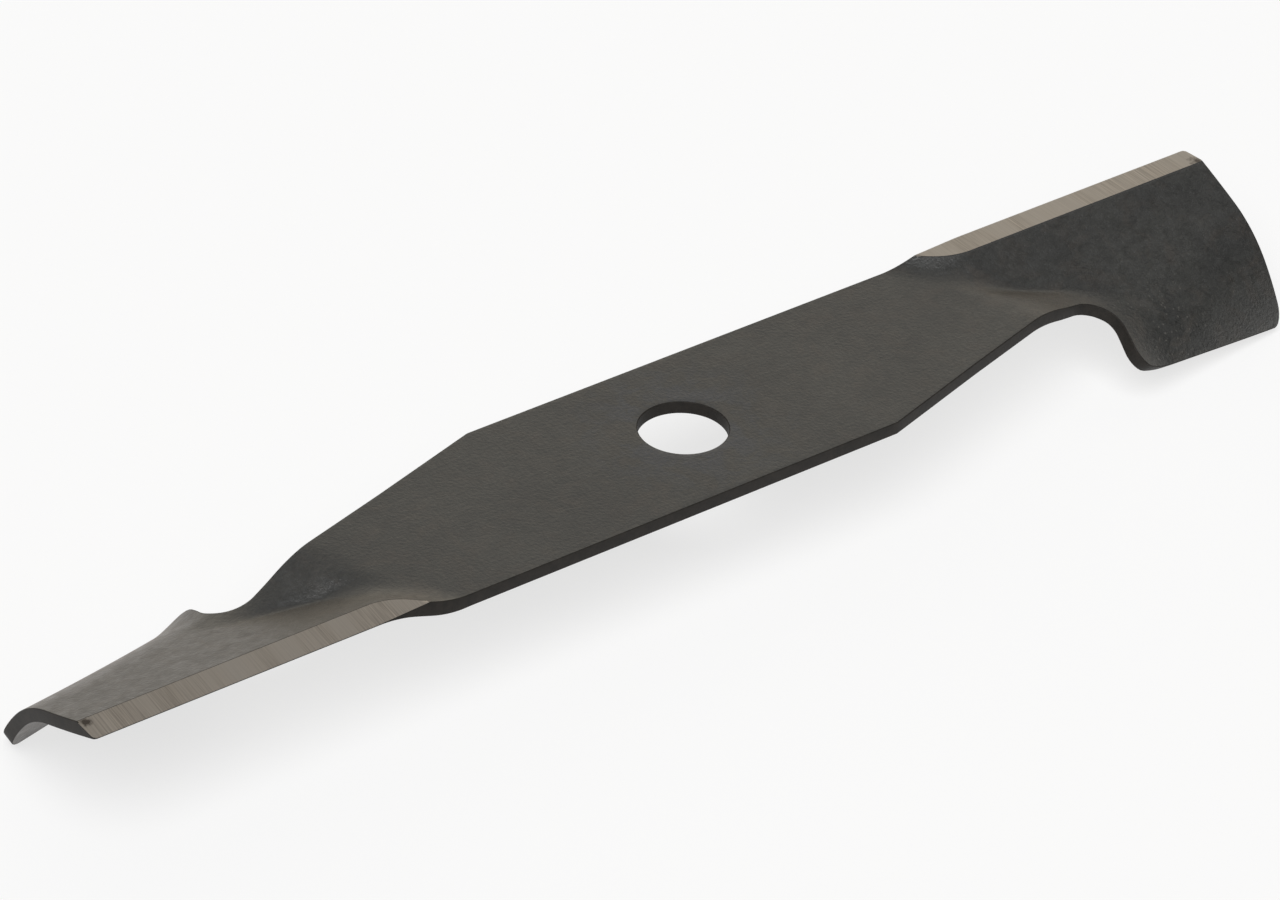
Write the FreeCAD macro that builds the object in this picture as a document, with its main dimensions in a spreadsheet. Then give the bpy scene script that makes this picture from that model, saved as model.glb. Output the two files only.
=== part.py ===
# Rotary mower blade: one strip of steel with a bore, pressed and ground at both ends.
# Frame: millimetres, origin at the centre of the bore on the upper face,
# +X along the blade, +Z up. The -X end is the +X end turned by half a turn about Z.
import FreeCAD, Part
import math
import os
from FreeCAD import Vector

doc = FreeCAD.newDocument("mower_blade")

# Sizes: lengths in millimetres, angles in degrees
SIZES = [
    ("thickness", 3.4),
    ("halfwidth", 26.88),
    ("tipreach", 182.45),
    ("boreradius", 11.0),
    # narrowing of each half on the side away from the cutting edge
    ("taperstart", 44.3),
    ("tapertilt", 16.2),
    ("outertapertilt", 15.4),
    # raised limb that carries the cutting edge
    ("limbangle", 22.75),
    ("limbzero", 14.11),
    # band where the flat strip twists into the raised limb
    ("twiststart", 107.5),
    ("twiststartturn", -11.4),
    ("twiststartskew", 0.567),
    ("twistend", 101.0),
    ("twistendturn", 9.1),
    ("twistendlow", -2.6),
    ("twistendskew", 2.46),
    ("twistnarrow", 8.5),
    ("twistsoftin", 0.3),
    ("twistsoftout", 0.4),
    ("seamclearance", 3.7),
    # wing that curves down along the trailing side
    ("wingbend", 6.5),
    ("wingbendskew", 0.217),
    ("wingbendbow", 0.00136),
    ("wingradius", 39.0),
    ("wingradiusspan", 14.0),
    ("wingradiuslow", 70.0),
    ("wingtipedge", 17.5),
    ("wingrootedge", 23.2),
    ("wingroot", 128.05),
    ("wingroottilt", 9.9),
    ("notchradius", 7.3),
    ("wingrootcorner", 4.0),
    ("wingtipcorner", 2.8),
    ("cuttipcorner", 1.0),
    ("tipradius", 270.0),
    ("tipcrown", 15.8),
    # cutting edge, ground flat on the upper side
    ("grindridge", 20.0),
    ("grindtilt", 3.6),
    ("grindwidth", 20.0),
    ("grindstart", 60.0),
]

sheet = doc.addObject("Spreadsheet::Sheet", "sizes")
for row, (alias, value) in enumerate(SIZES, start=1):
    sheet.set("A" + str(row), alias)
    sheet.set("B" + str(row), str(value))
    sheet.setAlias("B" + str(row), alias)
doc.recompute()


values = {alias: float(getattr(sheet, alias)) for alias, value in SIZES}


# One named size, as the sheet holds it
def size(alias):
    return values[alias]


# The larger of two numbers, blended over a width
def soft_max(a, b, width):
    h = max(width - abs(a - b), 0.0) / width
    return max(a, b) + h * h * width / 4.0


# The smaller of two numbers, blended over a width
def soft_min(a, b, width):
    return -soft_max(-a, -b, width)


# Plan line where the limb's plane runs over into the wing: its y at one x
def bend_line(x):
    out = x - size("tipreach")
    return size("wingbend") + size("wingbendskew") * out - size("wingbendbow") * out * out


# Height of the finished limb and wing: a plane that runs over into two arcs in the y-z section
def limb_height(x, y):
    angle = math.radians(size("limbangle"))
    zero = size("limbzero")
    bend = bend_line(x)
    if y >= bend:
        return math.tan(angle) * (y - zero)
    radius = size("wingradius")
    low = size("wingradiuslow")
    span = size("wingradiusspan")
    past = bend - y
    first = math.sin(angle) + min(past, span) / radius
    second = first + max(past - span, 0.0) / low
    drop = radius * (math.cos(angle) - math.sqrt(1.0 - first * first))
    drop += low * (math.sqrt(1.0 - first * first) - math.sqrt(1.0 - second * second))
    return math.tan(angle) * (bend - zero) - drop


# The two plan lines between which the flat twists into the limb: their x at one y
def twist_band(y):
    past = soft_max(y - size("twiststartturn"), 0.0, 4.0)
    start = size("twiststart") - size("twiststartskew") * past
    held = soft_min(soft_max(y, size("twistendlow"), 4.0), size("twistendturn"), 4.0)
    end = size("twistend") + size("twistendskew") * (size("twistendturn") - held)
    width = soft_max(end - start, size("twistnarrow"), 5.0)
    return start, start + width


# Height of the upper face: the limb's height times the share that the twist has reached
def upper_height(x, y):
    start, end = twist_band(y)
    share = soft_max((x - start) / (end - start), 0.0, size("twistsoftin"))
    share = soft_min(share, 1.0, size("twistsoftout"))
    return share * limb_height(x, y)


# Where the rows and columns of the end surface's net stand, as shares of the stretch they cross
BEFORE_TWIST = [0.0, 0.4, 0.8]
ACROSS_TWIST = [-0.3, -0.1, 0.1, 0.3, 0.5, 0.7, 0.9, 1.1, 1.4]
TO_THE_TIP = [0.33, 0.67, 1.0]
DOWN_THE_WING = [1.0, 0.83, 0.67, 0.5, 0.33, 0.17]
UP_THE_LIMB = [0.0, 0.2, 0.4, 0.6, 0.8, 1.0]


# First and last x of the net's rows across the twist, at one y
def net_band(y):
    start, end = twist_band(y)
    width = end - start
    return start + ACROSS_TWIST[0] * width, start + ACROSS_TWIST[-1] * width


# Upper end of the net in y, just outside the strip
def net_high():
    return size("halfwidth") + 2.1


# Where the flat middle ends and the end surface begins: its x, and the taper's y there
def seam_point():
    x = net_band(net_high())[0] - size("seamclearance")
    slope = math.tan(math.radians(size("tapertilt")))
    y = -size("halfwidth") + slope * (x - size("taperstart"))
    return x, y


# Upper face of the +X end, from the seam with the flat to past the tip: a cubic spline
# surface whose rows follow the twist and whose columns follow the bend of the wing
def end_surface():
    seam = seam_point()[0]
    low = -size("wingrootedge") - 1.3
    high = net_high()
    reach = size("tipreach") + 1.6

    def column_y(x, side, share):
        bend = soft_max(bend_line(x), low + 10.0, 6.0)
        far = low if side == "wing" else high
        return bend + (far - bend) * share

    columns = [("wing", share) for share in DOWN_THE_WING]
    columns += [("limb", share) for share in UP_THE_LIMB]
    middle = 0.5 * (size("twiststart") + size("wingroot"))
    net = []
    for stretch, shares in enumerate([BEFORE_TWIST, ACROSS_TWIST, TO_THE_TIP]):
        for row_share in shares:
            row = []
            for side, share in columns:
                level = column_y(middle, side, share)
                start, end = twist_band(level)
                first, last = net_band(level)
                if stretch == 0:
                    x = seam + row_share * (first - seam)
                elif stretch == 1:
                    x = start + row_share * (end - start)
                else:
                    x = last + row_share * (reach - last)
                y = column_y(x, side, share)
                z = 0.0 if stretch == 0 else upper_height(x, y)
                row.append(Vector(x, y, z))
            net.append(row)

    # a spline runs inside the bend of its poles, so each pole moves out by a sixth of it
    poles = []
    for row in net:
        moved = [Vector(point) for point in row]
        for j in range(1, len(row) - 1):
            moved[j].z -= (row[j - 1].z + row[j + 1].z - 2.0 * row[j].z) / 6.0
        poles.append(moved)
    rows = len(poles)
    across = len(columns)
    surface = Part.BSplineSurface()
    surface.buildFromPolesMultsKnots(
        poles,
        [4] + [1] * (rows - 4) + [4],
        [4] + [1] * (across - 4) + [4],
        [float(knot) for knot in range(rows - 2)],
        [float(knot) for knot in range(across - 2)],
        False,
        False,
        3,
        3,
    )
    return surface.toShape()


# Plan outline of the +X end, as a tall prism with rounded corners
def end_prism():
    seam, seam_y = seam_point()
    half = size("halfwidth")
    zero = size("limbzero")
    reach = size("tipreach")
    base = -60.0
    limb_edge = zero + (half - zero) * math.cos(math.radians(size("limbangle")))
    bow_start = seam + 4.0
    bow_end = size("twiststart") - 2.0
    bow = 0.5 * (bow_end - bow_start)
    mid = Vector(bow_start + bow, 0.5 * (half + limb_edge), base)
    quarter = 0.125 * (half - limb_edge)

    # the crown of the tip arc lies at y = tipcrown
    tip_radius = size("tipradius")
    crown = size("tipcrown")

    def tip_x(y):
        return reach - tip_radius + math.sqrt(tip_radius ** 2 - (y - crown) ** 2)

    tilt = math.tan(math.radians(size("wingroottilt")))
    root_y = -size("wingrootedge")
    root_x = size("wingroot") + tilt * (root_y + 15.0)
    tip_y = -size("wingtipedge")
    slope = math.tan(math.radians(size("outertapertilt")))
    # where the taper meets the inner edge of the wing
    notch_x = (size("wingroot") + tilt * (seam_y - slope * seam + 15.0)) / (1.0 - tilt * slope)
    notch_y = seam_y + slope * (notch_x - seam)

    p_seam = Vector(seam, half, base)
    p_bow_start = Vector(bow_start, half, base)
    p_bow_end = Vector(bow_end, limb_edge, base)
    p_cut_tip = Vector(tip_x(limb_edge), limb_edge, base)
    p_tip_mid = Vector(tip_x(0.0), 0.0, base)
    p_wing_tip = Vector(tip_x(tip_y), tip_y, base)
    p_wing_root = Vector(root_x, root_y, base)
    p_notch = Vector(notch_x, notch_y, base)
    p_taper = Vector(seam, seam_y, base)
    first_bow = Part.Arc(p_bow_start, Vector(bow_start + 0.5 * bow, half - quarter, base), mid)
    second_bow = Part.Arc(mid, Vector(bow_end - 0.5 * bow, limb_edge + quarter, base), p_bow_end)
    edges = [
        Part.makeLine(p_seam, p_bow_start),
        first_bow.toShape(),
        second_bow.toShape(),
        Part.makeLine(p_bow_end, p_cut_tip),
        Part.Arc(p_cut_tip, p_tip_mid, p_wing_tip).toShape(),
        Part.makeLine(p_wing_tip, p_wing_root),
        Part.makeLine(p_wing_root, p_notch),
        Part.makeLine(p_notch, p_taper),
        Part.makeLine(p_taper, p_seam),
    ]
    prism = Part.Face(Part.Wire(edges)).extrude(Vector(0, 0, 120.0))
    corners = [
        (p_cut_tip, size("cuttipcorner")),
        (p_wing_tip, size("wingtipcorner")),
        (p_wing_root, size("wingrootcorner")),
        (p_notch, size("notchradius")),
    ]
    for point, radius in corners:
        for edge in prism.Edges:
            ends = [vertex.Point for vertex in edge.Vertexes]
            near = [math.hypot(end.x - point.x, end.y - point.y) < 0.01 for end in ends]
            if len(ends) == 2 and all(near):
                prism = prism.makeFillet(radius, [edge])
                break
    return prism


# Flat middle of the upper face, between the two seams
def middle_face():
    seam, seam_y = seam_point()
    half = size("halfwidth")
    side = [(seam, seam_y), (seam, half), (-size("taperstart"), half)]
    turned = [(-x, -y) for x, y in side]
    points = [Vector(x, y, 0) for x, y in side + turned]
    return Part.Face(Part.makePolygon(points + [points[0]]))


# The pressed strip before grinding and boring, as one solid: the whole upper face is put
# together first, then given its thickness, so every edge stands square to the strip.
strip = doc.addObject("Part::Feature", "pressed_strip")
end_face = end_surface().common(end_prism()).Faces[0]
other_end = end_face.rotated(Vector(0, 0, 0), Vector(0, 0, 1), 180)
upper = Part.makeCompound([other_end, middle_face(), end_face])
upper.sewShape(0.001)
solid = upper.Shells[0].makeOffsetShape(-size("thickness"), 0.001, fill=True)
strip.Shape = solid.Solids[0]

# Bore for the mower's spindle
bore = doc.addObject("Part::Cylinder", "bore")
bore.setExpression("Radius", "sizes.boreradius")
bore.setExpression("Height", "sizes.thickness * 3")
bore.setExpression("Placement.Base.z", "-2 * sizes.thickness")

# What the grinding wheel takes off at the +X end: all above a plane through the ridge
wheel = doc.addObject("Part::Box", "grind")
wheel.setExpression("Length", "sizes.tipreach + 20 - sizes.grindstart")
wheel.setExpression("Width", "sizes.grindwidth * 1.5")
wheel.setExpression("Height", "sizes.grindwidth")
wheel.Placement.Rotation = FreeCAD.Rotation(Vector(1, 0, 0), -size("grindtilt"))
wheel.setExpression("Placement.Base.x", "sizes.grindstart")
ridge_height = "(sizes.grindridge - sizes.limbzero) * tan(sizes.limbangle * 1 deg)"
back_off = "0.5 * sizes.grindwidth"
wheel.setExpression("Placement.Base.y", "sizes.grindridge - " + back_off + " * cos(sizes.grindtilt * 1 deg)")
wheel.setExpression("Placement.Base.z", ridge_height + " + " + back_off + " * sin(sizes.grindtilt * 1 deg)")

# The same at the -X end: the box turned by half a turn about Z
turned = doc.addObject("Part::Box", "grind_other_end")
turned.setExpression("Length", "grind.Length")
turned.setExpression("Width", "grind.Width")
turned.setExpression("Height", "grind.Height")
half_turn = FreeCAD.Rotation(Vector(0, 0, 1), 180)
turned.Placement.Rotation = half_turn.multiply(wheel.Placement.Rotation)
turned.setExpression("Placement.Base.x", "-grind.Placement.Base.x")
turned.setExpression("Placement.Base.y", "-grind.Placement.Base.y")
turned.setExpression("Placement.Base.z", "grind.Placement.Base.z")

# The finished blade
ground = doc.addObject("Part::Cut", "ground_strip")
ground.Base = strip
ground.Tool = wheel
ground.Refine = False
ground_both = doc.addObject("Part::Cut", "ground_both_ends")
ground_both.Base = ground
ground_both.Tool = turned
ground_both.Refine = False
blade = doc.addObject("Part::Cut", "mower_blade")
blade.Base = ground_both
blade.Tool = bore
blade.Refine = False
doc.recompute()

# Every object is sound and the blade is one closed solid
for obj in doc.Objects:
    assert "Invalid" not in obj.State and "Error" not in obj.State, obj.Name
    if hasattr(obj, "Shape"):
        assert not obj.Shape.isNull() and obj.Shape.isValid(), obj.Name
assert len(blade.Shape.Solids) == 1
assert blade.Shape.Volume < strip.Shape.Volume - 3.0 * size("boreradius") ** 2 * size("thickness")

os.makedirs("parts", exist_ok=True)
blade.Shape.Solids[0].exportStep("parts/mower_blade.step")
box = blade.Shape.optimalBoundingBox(False, False)
print("volume mm3", round(blade.Shape.Volume, 1), "faces", len(blade.Shape.Faces))
print("box", round(box.XMin, 2), round(box.XMax, 2), round(box.YMin, 2), round(box.YMax, 2),
      round(box.ZMin, 2), round(box.ZMax, 2))
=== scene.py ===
import math

import bmesh
import bpy
import numpy as np
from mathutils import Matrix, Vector


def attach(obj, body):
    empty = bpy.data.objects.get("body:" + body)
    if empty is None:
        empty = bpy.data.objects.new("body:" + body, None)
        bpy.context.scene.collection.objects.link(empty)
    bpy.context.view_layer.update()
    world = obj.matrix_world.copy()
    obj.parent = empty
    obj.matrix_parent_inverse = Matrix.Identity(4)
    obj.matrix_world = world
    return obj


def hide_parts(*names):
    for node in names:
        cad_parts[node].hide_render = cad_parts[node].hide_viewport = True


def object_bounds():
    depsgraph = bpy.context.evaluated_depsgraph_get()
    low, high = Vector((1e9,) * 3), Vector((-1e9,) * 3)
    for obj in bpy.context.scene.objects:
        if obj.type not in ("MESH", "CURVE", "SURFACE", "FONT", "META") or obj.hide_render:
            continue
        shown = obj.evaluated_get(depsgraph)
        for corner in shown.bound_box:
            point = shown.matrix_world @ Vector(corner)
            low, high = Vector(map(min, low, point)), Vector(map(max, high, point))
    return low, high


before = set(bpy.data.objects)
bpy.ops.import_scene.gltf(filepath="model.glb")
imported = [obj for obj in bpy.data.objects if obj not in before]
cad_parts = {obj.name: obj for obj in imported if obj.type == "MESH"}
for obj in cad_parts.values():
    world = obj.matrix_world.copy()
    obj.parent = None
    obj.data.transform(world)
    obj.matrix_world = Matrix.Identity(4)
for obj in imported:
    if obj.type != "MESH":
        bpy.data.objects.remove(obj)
frame_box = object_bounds()


# The pressed strip. One strip of spring steel, blanked to its outline, then pressed hot so that
# each end twists up into a limb and curls down into a wing. The two ends are alike: the second
# is the first turned by half a turn about the bore.

# sizes of the flat strip in mm: x runs along it from the bore, y across it towards the cut
THICKNESS = 3.4
HALF_WIDTH = 26.88
TIP_REACH = 182.45
BORE_RADIUS = 11.0
PLATE_END = 30.0
EDGE_ROUND = 0.25
TAPER_START = 44.3
SEAM = 76.04
TAPER_ANGLE = math.radians(16.2)
OUTER_TAPER = math.radians(15.4)

# the limb is level at LIMB_ZERO; the wing curls down past the bend line, near it in one arc and
# farther on in a flatter one
LIMB_ANGLE = math.radians(22.75)
LIMB_ZERO = 14.11
BEND_AT_TIP = 6.5
BEND_LEAN = 0.217
BEND_CURVE = 0.00136
NEAR_ARC = 39.0
NEAR_ARC_REACH = 14.0
FAR_ARC = 70.0
STEEPEST_SINE = 0.98

# the twist lies between two plan lines; the first runs aslant above its knee, the second between
# its low and high ends
TWIST_START = 107.5
START_LEAN = 0.567
START_KNEE = -11.4
TWIST_END = 101.0
END_LEAN = 2.46
END_LOW = -2.6
END_HIGH = 9.1
LEAST_TWIST = 8.5
LINE_BLEND = 4.0
WIDTH_BLEND = 5.0
START_SOFTNESS = 0.3
END_SOFTNESS = 0.4
END_CRISPNESS = 0.24
MIDDLE_BOW = 0.12
MIDDLE_FROM = (-10.0, -2.0)
CRISP_TO = (22.0, 14.0)
BOW_TO = (14.0, 5.0)

# the cutting side draws in between these two, where the limb leans up
LEAN_START = SEAM + 4
LEAN_END = 105.5

# the wing's outline in plan, from its root at the notch to the tip's shallow arc
WING_ROOT = 128.05
WING_ROOT_TILT = math.radians(9.9)
WING_ROOT_LEVEL = -15.0
WING_TIP_Y = -17.5
WING_ROOT_Y = -23.2
NOTCH_RADIUS = 7.3
ROOT_CORNER = 4.0
TIP_CORNER = 2.8
CUT_CORNER = 1.0
TIP_RADIUS = 270.0
TIP_CROWN = 15.8

# the grinding wheel's plane, and where the wheel starts along and across the strip
GRIND_RIDGE = 19.99
GRIND_SLOPE = math.tan(math.radians(3.6))
WHEEL_FROM_X = 60.0
WHEEL_FROM_Y = 10.0
LEAST_GROUND = 0.9


def soft_max(a, b, width):
    """The larger of a and b, rounded off by a parabola where they differ by less than width."""
    near = np.maximum(width - np.abs(a - b), 0) / width
    return np.maximum(a, b) + near**2 * width / 4


def soft_min(a, b, width):
    """The smaller of a and b, rounded off in the same way."""
    return -soft_max(-a, -b, width)


def smooth_step(value, start, end):
    """Share from 0 at start to 1 at end, along the cubic that is level at both."""
    t = np.clip((value - start) / (end - start), 0, 1)
    return t * t * (3 - 2 * t)


def limb_height(x, y):
    """Height of the finished limb and wing. The limb is a plane at LIMB_ANGLE through y = LIMB_ZERO.
    Past the bend line, which runs aslant in plan, the section follows the near arc and then the
    far one: the sine of the slope grows by the distance past the bend over the radius."""
    out = x - TIP_REACH
    bend = BEND_AT_TIP + BEND_LEAN * out - BEND_CURVE * out**2
    past = np.maximum(bend - y, 0)
    first = math.sin(LIMB_ANGLE) + np.minimum(past, NEAR_ARC_REACH) / NEAR_ARC
    second = np.minimum(first + np.maximum(past - NEAR_ARC_REACH, 0) / FAR_ARC, STEEPEST_SINE)
    near_cosine = np.sqrt(1 - first**2)
    far_cosine = np.sqrt(1 - second**2)
    drop = NEAR_ARC * (math.cos(LIMB_ANGLE) - near_cosine) + FAR_ARC * (near_cosine - far_cosine)
    return math.tan(LIMB_ANGLE) * (np.maximum(y, bend) - LIMB_ZERO) - drop


def upper_height(x, y):
    """Height of the upper face: the limb's height times a share that grows from 0 to 1 between two
    slanting plan lines, the start and the end of the twist. The fold at the end is crisp across the
    middle of the strip and softer at the sides, and between the folds the middle bows down a little."""
    start = TWIST_START - START_LEAN * soft_max(y - START_KNEE, 0, LINE_BLEND)
    held = soft_min(soft_max(y, END_LOW, LINE_BLEND), END_HIGH, LINE_BLEND)
    end = TWIST_END + END_LEAN * (END_HIGH - held)
    width = soft_max(end - start, LEAST_TWIST, WIDTH_BLEND)
    middle = smooth_step(y, *MIDDLE_FROM)
    softness = END_SOFTNESS - END_CRISPNESS * middle * smooth_step(y, *CRISP_TO)
    share = soft_min(soft_max((x - start) / width, 0, START_SOFTNESS), 1, softness)
    bow = MIDDLE_BOW * middle * smooth_step(y, *BOW_TO)
    return (share + bow * share * (1 - share)) * limb_height(x, y)


def sheet(x, y):
    """Points of the upper face over plan points, with its unit normals from central differences."""
    step = 0.02
    slope_x = (upper_height(x + step, y) - upper_height(x - step, y)) / (2 * step)
    slope_y = (upper_height(x, y + step) - upper_height(x, y - step)) / (2 * step)
    points = np.stack([x, y, upper_height(x, y)], -1)
    normals = np.stack([-slope_x, -slope_y, np.ones_like(x)], -1)
    return points, normals / np.linalg.norm(normals, axis=-1, keepdims=True)


def grind_plane(y):
    """Height of the ground face: a plane through the ridge that falls gently towards the edge."""
    ridge = math.tan(LIMB_ANGLE) * (GRIND_RIDGE - LIMB_ZERO)
    return ridge - (y - GRIND_RIDGE) * GRIND_SLOPE


def grind(points, normals):
    """Moves each point above the grind plane down along the strip's normal until it lies on it, and
    says how far it went."""
    above = points[..., 2] - grind_plane(points[..., 1])
    rate = normals[..., 2] + GRIND_SLOPE * normals[..., 1]
    reached = (points[..., 1] > WHEEL_FROM_Y) & (points[..., 0] > WHEEL_FROM_X)
    depth = np.where(reached, np.maximum(above, 0) / rate, 0)
    return points - normals * depth[..., None], depth


# plan outline of one end, drawn in by the radius of its rounded edges
r = EDGE_ROUND
seam_y = -HALF_WIDTH + math.tan(TAPER_ANGLE) * (SEAM - TAPER_START)
taper_out = np.array([math.sin(OUTER_TAPER), -math.cos(OUTER_TAPER)])
wing_out = np.array([-math.cos(WING_ROOT_TILT), math.sin(WING_ROOT_TILT)])
notch = np.linalg.solve(
    [taper_out, wing_out],
    [
        taper_out @ (SEAM, seam_y) + NOTCH_RADIUS,
        wing_out @ (WING_ROOT, WING_ROOT_LEVEL) + NOTCH_RADIUS,
    ],
)
notch_r = NOTCH_RADIUS + r
arc_start = notch - notch_r * taper_out
notch_x, notch_y = notch + (notch_r, 0)
limb_edge = LIMB_ZERO + (HALF_WIDTH - LIMB_ZERO) * math.cos(LIMB_ANGLE)


def tip_x(y):
    """The tip's shallow arc, crowned at y = TIP_CROWN."""
    return TIP_REACH - TIP_RADIUS + np.sqrt(TIP_RADIUS**2 - (y - TIP_CROWN) ** 2) - r


def cut_side(x):
    """The strip's cutting side in plan: straight, then drawn in where the limb leans up."""
    share = np.clip((x - LEAN_START) / (LEAN_END - LEAN_START), 0, 1)
    bow = np.where(share < 0.5, 2 * share**2, 1 - 2 * (1 - share) ** 2)
    return HALF_WIDTH - (HALF_WIDTH - limb_edge) * bow - r


def back_side(x):
    """The side away from the cut: straight, two tapers, then the round of the notch."""
    along = np.maximum(x - TAPER_START, 0)
    near = along * math.tan(TAPER_ANGLE) - HALF_WIDTH + r / math.cos(TAPER_ANGLE)
    far = seam_y + (x - SEAM) * math.tan(OUTER_TAPER) + r / math.cos(OUTER_TAPER)
    arc = notch[1] + np.sqrt(np.maximum(notch_r**2 - (x - notch[0]) ** 2, 0))
    near = np.where(x < TAPER_START, -HALF_WIDTH + r, near)
    return np.where(x < SEAM, near, np.where(x < arc_start[0], far, arc))


def corner(distance, radius):
    """How far a rounded corner draws the outline in, at a distance from the edge beyond it."""
    inside = np.clip(radius - distance, 0, radius)
    return radius - np.sqrt(radius**2 - inside**2)


# rows run across the strip: straight down to the notch, then fanned out to the curved tip, and a
# little closer together towards it; the counts in linspace set how fine the grid is
angles = np.radians(np.linspace(90 + math.degrees(OUTER_TAPER), 0, 16))
plain_x = np.concatenate([
    np.linspace(PLATE_END, TAPER_START, 9)[:-1],
    np.linspace(TAPER_START, SEAM, 18)[:-1],
    np.linspace(SEAM, arc_start[0], 80)[:-1],
    notch[0] + notch_r * np.cos(angles),
])
to_tip = 1 - (1 - np.linspace(0, 1, 72)) ** 1.15
rows = len(plain_x)
reach = np.concatenate([np.zeros(rows), to_tip[1:]])
row_x = np.concatenate([plain_x, np.full(len(to_tip) - 1, notch_x)])
low = np.concatenate([back_side(plain_x), np.full(len(to_tip) - 1, notch_y)])


def spread(y, line_x, line_reach):
    """x of a point at height y in plan on a row: the row's own x, or a share of the way to the tip."""
    tip = tip_x(y) - corner(limb_edge - r - y, CUT_CORNER - r)
    return line_x + (tip - line_x) * line_reach


# the ridge, where each row crosses the grind plane, is found by halving the stretch it lies in
high = cut_side(spread(np.full(len(row_x), limb_edge - 2.0), row_x, reach))
below, above = np.full(len(row_x), 12.0), high.copy()
for _ in range(40):
    middle = (below + above) / 2
    x = spread(middle, row_x, reach)
    over = upper_height(x, middle) > grind_plane(middle)
    above, below = np.where(over, middle, above), np.where(over, below, middle)
ridge = np.minimum(below, high - LEAST_GROUND)
from_edge = (CUT_CORNER - r) * (1 - np.cos(np.radians([90, 60, 30, 0])))
flat_part = low[:, None] + (ridge - low)[:, None] * np.linspace(0, 1, 60)
ground_part = ridge[:, None] + (high - from_edge[0] - ridge)[:, None] * np.linspace(0, 1, 10)[1:-1]
edge_part = high[:, None] - from_edge
strip_y = np.concatenate([flat_part, ground_part, edge_part], 1)
strip_x = spread(strip_y, row_x[:, None], reach[:, None])

# the wing below the notch, down to its free edge with two rounded corners; its x and y depend on
# each other, so they are worked out a few times over
body_rows, corner_rows = 21, 8
depths = np.concatenate([np.linspace(0, 1, body_rows + 1)[:-1], [1] * corner_rows])
ends = ROOT_CORNER * (1 - np.cos(np.radians(np.linspace(90, 0, corner_rows))))
root_x = WING_ROOT + math.tan(WING_ROOT_TILT) * (WING_ROOT_Y - WING_ROOT_LEVEL)
free_slope = (WING_TIP_Y - WING_ROOT_Y) / (tip_x(WING_TIP_Y) + r - root_x)
wing_x = notch_x + (tip_x(notch_y) - notch_x) * to_tip[:, None] + 0 * depths
for _ in range(6):
    free = WING_TIP_Y + free_slope * (wing_x - tip_x(WING_TIP_Y) - r) + 0.65 * r
    top_of_corner = free + ROOT_CORNER
    wing_y = np.where(
        np.arange(len(depths)) < body_rows,
        notch_y + (top_of_corner - notch_y) * depths,
        free + np.concatenate([np.zeros(body_rows), ends]),
    )
    drop = np.minimum(notch_y - wing_y, notch_r * math.sin(WING_ROOT_TILT))
    arc_x = notch[0] + np.sqrt(notch_r**2 - drop**2)
    line = WING_ROOT + math.tan(WING_ROOT_TILT) * (wing_y - WING_ROOT_LEVEL)
    line = line + r / math.cos(WING_ROOT_TILT)
    inner = np.where(drop < notch_r * math.sin(WING_ROOT_TILT), arc_x, line)
    inner = inner + corner(wing_y - free, ROOT_CORNER)
    outer = tip_x(wing_y) - corner(wing_y - free, TIP_CORNER)
    wing_x = inner + (outer - inner) * to_tip[:, None]

strip_points, strip_normals = sheet(strip_x, strip_y)
wing_points, wing_normals = sheet(wing_x, wing_y)

vertices, faces, finishes = [], [], []


def add_grid(points, depth, flip=False, closed=False, sheared=False):
    """Adds a grid of points as quads. Rows run along axis 0; flip turns the faces over, and closed
    joins the last row to the first. The finish of a face is 1 where the wheel took any corner of it,
    or on a sheared wall all four; it is 2 on the rest of a sheared wall, and 0 elsewhere."""
    base = sum(len(v) for v in vertices)
    n, m = points.shape[:2]
    index = base + np.arange(n * m).reshape(n, m)
    if closed:
        index = np.concatenate([index, index[:1]])
    quads = np.stack([index[:-1, :-1], index[1:, :-1], index[1:, 1:], index[:-1, 1:]], -1)
    quads = quads.reshape(-1, 4)
    vertices.append(points.reshape(-1, 3))
    taken = (depth > 1e-4).reshape(-1)[quads - base]
    ground = taken.all(1) if sheared else taken.any(1)
    finishes.append(np.where(ground, 1, 2 if sheared else 0))
    faces.append(quads[:, ::-1] if flip else quads)


def half_turn(points):
    """The same points turned by half a turn about the bore."""
    return points * (-1, -1, 1)


def skin(points, normals, flip):
    """Adds a patch's upper face, ground where it rises above the grind plane, and its under side one
    thickness below, for both ends of the blade."""
    upper, depth = grind(points, normals)
    under = points - normals * THICKNESS
    for turned in (False, True):
        turn = half_turn if turned else (lambda p: p)
        add_grid(turn(upper), depth, flip)
        add_grid(turn(under), 0 * depth, not flip)


skin(strip_points, strip_normals, False)
skin(wing_points, wing_normals, True)

# the flat middle: rings of points between the bore and a rectangle
right_y = strip_y[0]
top_x = np.linspace(PLATE_END, -PLATE_END, 60)[1:-1]
right = np.stack([np.full(len(right_y), PLATE_END), right_y], -1)
top = np.stack([top_x, np.full(len(top_x), HALF_WIDTH - r)], -1)
outer_loop = np.concatenate([right, top, -right, -top])
turn_angle = np.arctan2(outer_loop[:, 1], outer_loop[:, 0])
bore_loop = (BORE_RADIUS + r) * np.stack([np.cos(turn_angle), np.sin(turn_angle)], -1)
share = np.linspace(0, 1, 14)[None, :, None]
plate = bore_loop[:, None] * (1 - share) + outer_loop[:, None] * share
plate = np.concatenate([plate, np.zeros(plate.shape[:2] + (1,))], -1)
add_grid(plate, np.zeros(plate.shape[:2]), True, True)
add_grid(plate - (0, 0, THICKNESS), np.zeros(plate.shape[:2]), False, True)

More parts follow.
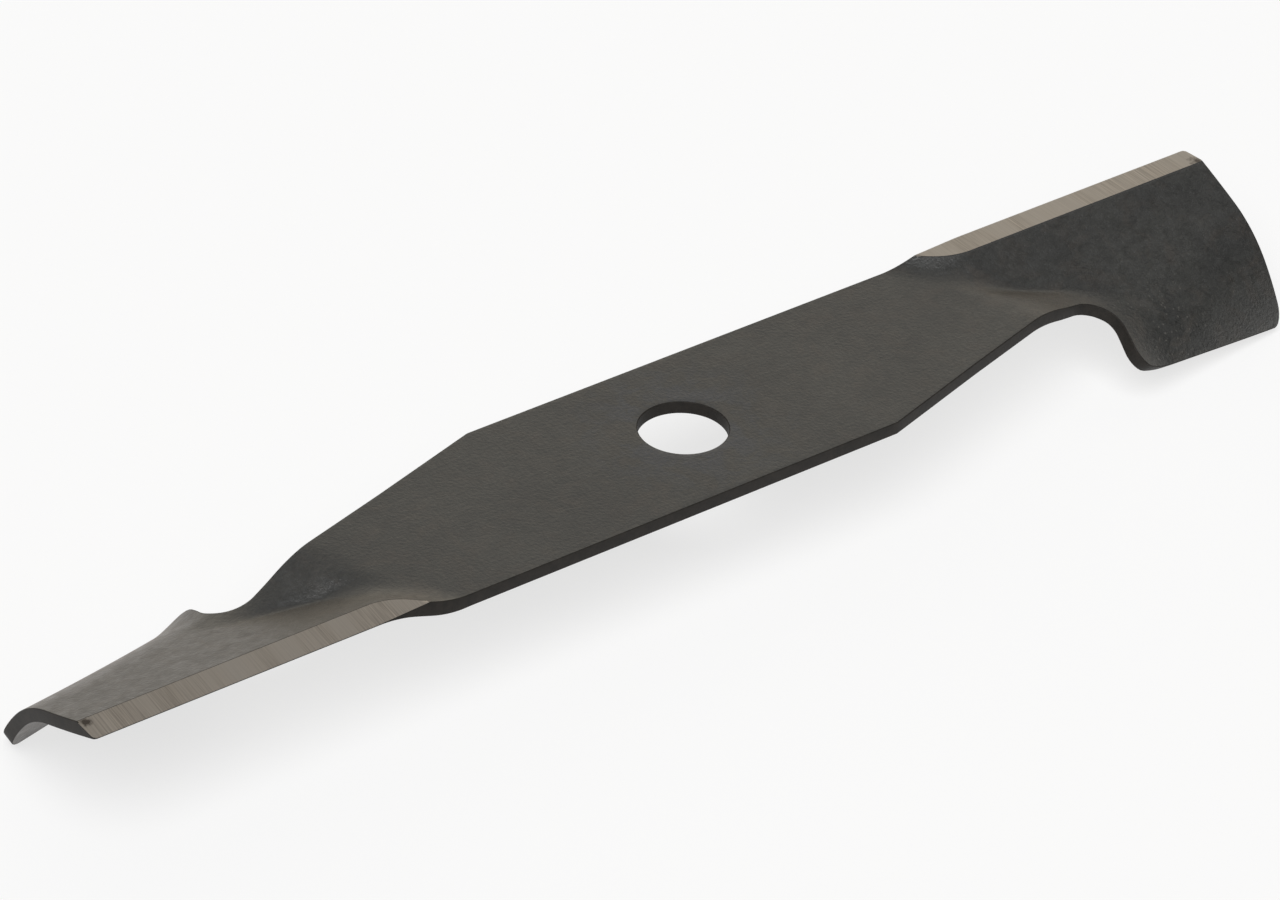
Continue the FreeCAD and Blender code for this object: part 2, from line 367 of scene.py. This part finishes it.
# rounded edges: a profile of two quarter rounds and the wall between, carried round the outline
quarter = np.radians(np.linspace(0, 90, 6))
profile_out = r * np.concatenate([np.sin(quarter), np.cos(quarter)])
profile_down = np.concatenate([r * (1 - np.cos(quarter)), THICKNESS - r + r * np.sin(quarter)])


def edge_loop(points, normals):
    """Carries the edge profile round a closed loop. At each point it stands square to the loop's
    tangent (from the neighbours) and to the strip's normal, on the left of the way round."""
    along = np.roll(points, -1, 0) - np.roll(points, 1, 0)
    outward = np.cross(normals, along)
    outward /= np.linalg.norm(outward, axis=-1, keepdims=True)
    across = np.repeat(normals[:, None], len(profile_out), 1)
    ring = points[:, None] + outward[:, None] * profile_out[:, None] - across * profile_down[:, None]
    return ring, across


def along_outline(strip, wing, between):
    """One half of the outline, in order: cutting side, tip, free edge, inner edge, notch, taper and
    the straight back side of the flat middle."""
    return np.concatenate([
        strip[:, -1],
        strip[-1, -2:0:-1],
        wing[-1, :],
        wing[-2:0:-1, -1],
        wing[0, ::-1],
        strip[rows - 2::-1, 0],
        between,
    ])


between = np.stack([top_x, np.full(len(top_x), -HALF_WIDTH + r), 0 * top_x], -1)
half = along_outline(strip_points, wing_points, between)
half_normals = along_outline(strip_normals, wing_normals, between * 0 + (0, 0, 1))
loop = np.concatenate([half, half_turn(half)])
loop_normals = np.concatenate([half_normals, half_turn(half_normals)])
ring, across = edge_loop(loop, loop_normals)
side = np.where(ring[..., :1] >= 0, 1.0, -1.0) * (1, 1, 0) + (0, 0, 1)
cut, depth = grind(ring * side, across * side)
add_grid(cut * side, depth, closed=True, sheared=True)
bore_points = np.concatenate([bore_loop, np.zeros((len(bore_loop), 1))], -1)
ring, across = edge_loop(bore_points, bore_points * 0 + (0, 0, 1))
add_grid(ring, np.zeros(ring.shape[:2]), closed=True, sheared=True)

strip_mesh = bpy.data.meshes.new("blade_surface")
all_vertices = np.concatenate(vertices) * 0.001
all_faces = np.concatenate(faces)
strip_mesh.from_pydata(all_vertices.tolist(), [], all_faces.tolist())
strip_mesh.polygons.foreach_set("material_index", np.concatenate(finishes).astype(np.int32))
work = bmesh.new()
work.from_mesh(strip_mesh)
bmesh.ops.remove_doubles(work, verts=work.verts, dist=3e-6)
bmesh.ops.dissolve_degenerate(work, edges=work.edges, dist=1e-7)
work.to_mesh(strip_mesh)
work.free()
strip_mesh.polygons.foreach_set("use_smooth", [True] * len(strip_mesh.polygons))
strip_mesh.set_sharp_from_angle(angle=math.radians(16))
blade = bpy.data.objects.new("blade", strip_mesh)
bpy.context.scene.collection.objects.link(blade)
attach(blade, "root")
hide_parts("mower_blade")


def linear(code):
    """The sRGB hex colour as linear red, green, blue and a full alpha."""
    parts = np.array([int(code[i:i + 2], 16) for i in (0, 2, 4)]) / 255
    low = parts / 12.92
    high = ((parts + 0.055) / 1.055) ** 2.4
    return (*np.where(parts <= 0.04045, low, high).tolist(), 1.0)


def add_node(tree, kind, inputs=None, **settings):
    """Adds one node. Settings are its properties; inputs are numbers, colours or outputs to link, by
    the socket's name or number. A map range reads from 1 to 2 and gives 3 to 4, and a colour mix
    has its share at 0 and its colours at 6 and 7."""
    made = tree.nodes.new(kind)
    for key, value in settings.items():
        setattr(made, key, value)
    for key, value in (inputs or {}).items():
        if isinstance(value, bpy.types.NodeSocket):
            tree.links.new(value, made.inputs[key])
        else:
            made.inputs[key].default_value = value
    return made


def new_material(name):
    """An empty material with the Principled shader, and the piece's own coordinates in metres."""
    made = bpy.data.materials.new(name)
    made.use_nodes = True
    tree = made.node_tree
    place = add_node(tree, "ShaderNodeTexCoord").outputs["Object"]
    return made, tree, tree.nodes["Principled BSDF"], place


# Black oxide: spring steel hardened in oil, dark and satin, a little olive where the oxide is thin.
# Clouds some 28 mm across, stains of 8 mm, shallow pits of 3 mm and a grain of 0.9 mm, which is
# coarser than the real grain of 0.2 mm so that it shows.
coat, tree, shader, place = new_material("black_oxide")
clouds = add_node(
    tree, "ShaderNodeTexNoise",
    {"Vector": place, "Scale": 1000 / 28, "Detail": 5.0, "Roughness": 0.6, "Distortion": 0.4},
)
thin = add_node(tree, "ShaderNodeMapRange", {0: clouds.outputs[0], 1: 0.36, 2: 0.64})
oxide = add_node(
    tree, "ShaderNodeMix",
    {0: thin.outputs[0], 6: linear("161818"), 7: linear("242523")},
    data_type="RGBA",
)
stains = add_node(
    tree, "ShaderNodeTexNoise",
    {"Vector": place, "Scale": 1000 / 8, "Detail": 6.0, "Roughness": 0.65, "Distortion": 0.8},
)
brown = add_node(tree, "ShaderNodeMapRange", {0: stains.outputs[0], 1: 0.5, 2: 0.72, 4: 0.24})
browned = add_node(
    tree, "ShaderNodeMix",
    {0: brown.outputs[0], 6: oxide.outputs[2], 7: linear("40342a")},
    data_type="RGBA",
)
# a faint blue-grey ring where the washer of the blade holder pressed
from_bore = add_node(tree, "ShaderNodeVectorMath", {0: place}, operation="LENGTH")
ring_fade = add_node(tree, "ShaderNodeMapRange", {0: from_bore.outputs["Value"], 1: 0.03, 2: 0.015})
blotch = add_node(tree, "ShaderNodeMapRange", {0: stains.outputs[0], 1: 0.54, 2: 0.44, 4: 0.8})
blue = add_node(
    tree, "ShaderNodeMath", {0: ring_fade.outputs[0], 1: blotch.outputs[0]}, operation="MULTIPLY",
)
washed = add_node(
    tree, "ShaderNodeMix",
    {0: blue.outputs[0], 6: browned.outputs[2], 7: linear("22262d")},
    data_type="RGBA",
)
grain = add_node(
    tree, "ShaderNodeTexNoise",
    {"Vector": place, "Scale": 1000 / 0.9, "Detail": 2.0, "Roughness": 0.6},
)
shade = add_node(tree, "ShaderNodeMapRange", {0: grain.outputs[0], 1: 0.25, 2: 0.75, 3: 0.5, 4: 1.5})
grained = add_node(
    tree, "ShaderNodeVectorMath", {0: washed.outputs[2], 3: shade.outputs[0]}, operation="SCALE",
)
# pale specks of dust and bare metal, 1.6 mm apart, on the one wing by its root corner
from_root = add_node(
    tree, "ShaderNodeVectorMath", {0: place, 1: (0.142, -0.015, -0.016)}, operation="DISTANCE",
)
patch = add_node(tree, "ShaderNodeMapRange", {0: from_root.outputs["Value"], 1: 0.022, 2: 0.006, 4: 0.2})
dots = add_node(tree, "ShaderNodeTexVoronoi", {"Vector": place, "Scale": 1000 / 1.6})
dot = add_node(tree, "ShaderNodeMapRange", {0: dots.outputs["Distance"], 1: 0.22, 2: 0.1})
haze = add_node(tree, "ShaderNodeMapRange", {0: stains.outputs[0], 1: 0.5, 2: 0.7, 4: 0.3})
pale = add_node(tree, "ShaderNodeMath", {0: dot.outputs[0], 1: haze.outputs[0]}, operation="MAXIMUM")
speck = add_node(tree, "ShaderNodeMath", {0: pale.outputs[0], 1: patch.outputs[0]}, operation="MULTIPLY")
specked = add_node(
    tree, "ShaderNodeMix",
    {0: speck.outputs[0], 6: grained.outputs[0], 7: linear("8f8b82")},
    data_type="RGBA",
)
# painted shade: a dark line, 0.5 mm wide, just under the wheel's plane along the ridge, painted along
# the crease between limb and ground face, which is also made rougher there
mirrored = add_node(tree, "ShaderNodeVectorMath", {0: place}, operation="ABSOLUTE")
across = add_node(tree, "ShaderNodeSeparateXYZ", {0: mirrored.outputs[0]})
level = add_node(tree, "ShaderNodeSeparateXYZ", {0: place})
to_wheel = add_node(
    tree, "ShaderNodeMath", {0: across.outputs["Y"], 1: GRIND_SLOPE, 2: level.outputs["Z"]},
    operation="MULTIPLY_ADD",
)
wheel_level = 0.001 * float(grind_plane(0.0))
ridge_painted_shade = add_node(
    tree, "ShaderNodeMapRange",
    {0: to_wheel.outputs[0], 1: wheel_level - 0.00024, 2: wheel_level - 0.0001},
)
# the painted shade line along the ridge goes into the base colour here
ridge_shaded = add_node(
    tree, "ShaderNodeMix",
    {0: ridge_painted_shade.outputs[0], 6: specked.outputs[2], 7: linear("0c0b0a")},
    data_type="RGBA",
)
tree.links.new(ridge_shaded.outputs[2], shader.inputs["Base Color"])
shader.inputs["IOR"].default_value = 1.9
# a bloom of dust and rust, which shows where the face is seen at a flat angle
shader.inputs["Sheen Weight"].default_value = 0.1
shader.inputs["Sheen Roughness"].default_value = 0.4
shader.inputs["Sheen Tint"].default_value = linear("cfa262")
pits = add_node(
    tree, "ShaderNodeTexNoise",
    {"Vector": place, "Scale": 1000 / 3.2, "Detail": 4.0, "Roughness": 0.6, "Distortion": 0.5},
)
satin = add_node(tree, "ShaderNodeMapRange", {0: pits.outputs[0], 1: 0.3, 2: 0.7, 3: 0.36, 4: 0.5})
dry = add_node(
    tree, "ShaderNodeMath", {0: ridge_painted_shade.outputs[0], 1: 0.4, 2: satin.outputs[0]},
    operation="MULTIPLY_ADD",
)
tree.links.new(dry.outputs[0], shader.inputs["Roughness"])
waves = add_node(
    tree, "ShaderNodeBump", {"Height": pits.outputs[0], "Strength": 0.4, "Distance": 0.00007},
)
relief = add_node(
    tree, "ShaderNodeBump",
    {"Height": grain.outputs[0], "Strength": 0.6, "Distance": 0.00022, "Normal": waves.outputs[0]},
)
tree.links.new(relief.outputs[0], shader.inputs["Normal"])
strip_mesh.materials.append(coat)

# Ground steel: bare metal from a coarse wheel, bright but not polished. The wheel leaves scratches
# nearly square to the edge, 0.1 mm apart, drawn 0.45 mm apart so that they show, in bands of some
# 9 mm, and the heat leaves straw tints and a burn at the tip.
steel, tree, shader, place = new_material("ground_steel")
scratch_place = add_node(
    tree, "ShaderNodeMapping",
    {"Vector": place, "Rotation": (0, 0, math.radians(-4)), "Scale": (0.00045, 0.03, 0.03)},
    vector_type="TEXTURE",
)
scratches = add_node(
    tree, "ShaderNodeTexNoise",
    {"Vector": scratch_place.outputs[0], "Scale": 1.0, "Detail": 3.0, "Roughness": 0.7},
)
band_place = add_node(
    tree, "ShaderNodeMapping",
    {"Vector": place, "Rotation": (0, 0, math.radians(-4)), "Scale": (0.009, 0.1, 0.1)},
    vector_type="TEXTURE",
)
bands = add_node(
    tree, "ShaderNodeTexNoise",
    {"Vector": band_place.outputs[0], "Scale": 1.0, "Detail": 2.0, "Roughness": 0.6},
)
band = add_node(tree, "ShaderNodeMapRange", {0: bands.outputs[0], 1: 0.42, 2: 0.62, 3: 0.2, 4: 1.0})
tint = add_node(
    tree, "ShaderNodeMix",
    {0: bands.outputs[0], 6: linear("b5b1ad"), 7: linear("b6ada3")},
    data_type="RGBA",
)
line = add_node(tree, "ShaderNodeMapRange", {0: scratches.outputs[0], 1: 0.3, 2: 0.7, 3: -0.42, 4: 0.2})
line_depth = add_node(
    tree, "ShaderNodeMath", {0: line.outputs[0], 1: band.outputs[0]}, operation="MULTIPLY",
)
line_shade = add_node(tree, "ShaderNodeMath", {0: line_depth.outputs[0], 1: 1.0}, operation="ADD")
scratched = add_node(
    tree, "ShaderNodeVectorMath", {0: tint.outputs[2], 3: line_shade.outputs[0]}, operation="SCALE",
)
either_end = add_node(tree, "ShaderNodeVectorMath", {0: place}, operation="ABSOLUTE")
from_burn = add_node(
    tree, "ShaderNodeVectorMath",
    {0: either_end.outputs[0], 1: (0.1811, 0.0209, 0.0024)}, operation="DISTANCE",
)
ragged = add_node(tree, "ShaderNodeTexNoise", {"Vector": place, "Scale": 1000 / 1.6, "Detail": 3.0})
edge_of_burn = add_node(
    tree, "ShaderNodeMath",
    {0: ragged.outputs[0], 1: 0.006, 2: from_burn.outputs["Value"]}, operation="MULTIPLY_ADD",
)
burn = add_node(
    tree, "ShaderNodeMapRange", {0: edge_of_burn.outputs[0], 1: 0.0053, 2: 0.0034, 4: 0.8},
)
burnt = add_node(
    tree, "ShaderNodeMix",
    {0: burn.outputs[0], 6: scratched.outputs[0], 7: linear("2b211b")},
    data_type="RGBA",
)
tree.links.new(burnt.outputs[2], shader.inputs["Base Color"])
shader.inputs["Metallic"].default_value = 1.0
dull = add_node(tree, "ShaderNodeMapRange", {0: scratches.outputs[0], 1: 0.3, 2: 0.7, 3: 0.44, 4: 0.34})
tree.links.new(dull.outputs[0], shader.inputs["Roughness"])
relief = add_node(
    tree, "ShaderNodeBump", {"Height": scratches.outputs[0], "Strength": 0.2, "Distance": 0.00005},
)
tree.links.new(relief.outputs[0], shader.inputs["Normal"])
strip_mesh.materials.append(steel)

# Sheared walls: the same oxide on the torn steel that blanking leaves, so darker, browner and dull
wall, tree, shader, place = new_material("sheared_edge")
tear = add_node(
    tree, "ShaderNodeTexNoise",
    {"Vector": place, "Scale": 1000 / 2.5, "Detail": 5.0, "Roughness": 0.7},
)
torn = add_node(tree, "ShaderNodeMapRange", {0: tear.outputs[0], 1: 0.35, 2: 0.7})
worn = add_node(
    tree, "ShaderNodeMix",
    {0: torn.outputs[0], 6: linear("1f1d1a"), 7: linear("2b2723")},
    data_type="RGBA",
)
tree.links.new(worn.outputs[2], shader.inputs["Base Color"])
shader.inputs["Roughness"].default_value = 0.6
shader.inputs["Specular IOR Level"].default_value = 0.25
relief = add_node(
    tree, "ShaderNodeBump", {"Height": tear.outputs[0], "Strength": 0.3, "Distance": 0.0001},
)
tree.links.new(relief.outputs[0], shader.inputs["Normal"])
strip_mesh.materials.append(wall)


# Studio: a white paper floor. The room has a low white wall all round, is bright and a little warm
# behind the blade, and dim overhead and on the near side, where one wide soft lamp stands high.
lowest = frame_box[0].z
half_floor = 6.0
corners = [(half_floor * x, half_floor * y, lowest) for x, y in ((-1, -1), (1, -1), (1, 1), (-1, 1))]
floor_mesh = bpy.data.meshes.new("floor")
floor_mesh.from_pydata(corners, [], [(0, 1, 2, 3)])
floor = bpy.data.objects.new("floor", floor_mesh)
bpy.context.scene.collection.objects.link(floor)
paper = bpy.data.materials.new("white_paper")
paper.use_nodes = True
tree = paper.node_tree
shader = tree.nodes["Principled BSDF"]
shader.inputs["Base Color"].default_value = linear("fcfcfc")
shader.inputs["Roughness"].default_value = 0.9
# seen by the camera, or in metal, the paper is for the most part plain white
path = add_node(tree, "ShaderNodeLightPath")
direct = add_node(
    tree, "ShaderNodeMath", {0: path.outputs["Is Camera Ray"], 1: path.outputs["Is Glossy Ray"]},
    operation="MAXIMUM",
)
seen = add_node(
    tree, "ShaderNodeMath", {0: direct.outputs[0], 1: path.outputs["Is Transmission Ray"]},
    operation="MAXIMUM",
)
part = add_node(tree, "ShaderNodeMath", {0: seen.outputs[0], 1: 0.7}, operation="MULTIPLY")
white = add_node(tree, "ShaderNodeEmission", {"Color": (1, 1, 1, 1), "Strength": 1.0})
surface = add_node(
    tree, "ShaderNodeMixShader", {0: part.outputs[0], 1: shader.outputs[0], 2: white.outputs[0]},
)
tree.links.new(surface.outputs[0], tree.nodes["Material Output"].inputs["Surface"])
floor_mesh.materials.append(paper)

world = bpy.data.worlds.new("studio")
world.use_nodes = True
tree = world.node_tree
direction = add_node(tree, "ShaderNodeTexCoord").outputs["Generated"]
towards = add_node(
    tree, "ShaderNodeVectorMath", {0: direction, 1: (0.45, 0.72, -0.5)}, operation="DOT_PRODUCT",
)
spread_out = add_node(tree, "ShaderNodeMapRange", {0: towards.outputs["Value"], 1: -0.1, 2: 0.88})
falling = add_node(tree, "ShaderNodeMath", {0: spread_out.outputs[0], 1: 0.84}, operation="POWER")
far_side = add_node(
    tree, "ShaderNodeMath", {0: falling.outputs[0], 1: 0.95, 2: 0.05}, operation="MULTIPLY_ADD",
)
up = add_node(tree, "ShaderNodeSeparateXYZ", {0: direction})
low_wall = add_node(tree, "ShaderNodeMapRange", {0: up.outputs["Z"], 1: 0.2, 2: 0.08})
glow = add_node(
    tree, "ShaderNodeMath", {0: far_side.outputs[0], 1: low_wall.outputs[0]}, operation="MAXIMUM",
)
warmth = add_node(
    tree, "ShaderNodeMix",
    {0: spread_out.outputs[0], 6: linear("ffffff"), 7: linear("fff5e0")},
    data_type="RGBA",
)
background = tree.nodes["Background"]
tree.links.new(warmth.outputs[2], background.inputs["Color"])
tree.links.new(glow.outputs[0], background.inputs["Strength"])
bpy.context.scene.world = world

lamp_data = bpy.data.lights.new("wide_lamp", "SUN")
lamp_data.angle = math.radians(60)
lamp_data.energy = 2.6
lamp = bpy.data.objects.new("wide_lamp", lamp_data)
lamp.location = (-0.7, -0.7, 1.7)
lamp.rotation_euler = (Vector((0, 0, 0)) - lamp.location).to_track_quat("-Z", "Y").to_euler()
bpy.context.scene.collection.objects.link(lamp)

camera_data = bpy.data.cameras.new("camera")
camera_data.lens = 159.02
camera_data.sensor_width = 36
camera_data.clip_start = 0.1
camera_data.clip_end = 20
camera = bpy.data.objects.new("camera", camera_data)
camera.location = (-0.69496, -0.87224, 0.76154)
camera.rotation_euler = [math.radians(angle) for angle in (55.4028, -1.9899, -36.6554)]
bpy.context.scene.collection.objects.link(camera)
bpy.context.scene.camera = camera
bpy.context.scene.view_settings.view_transform = "Standard"
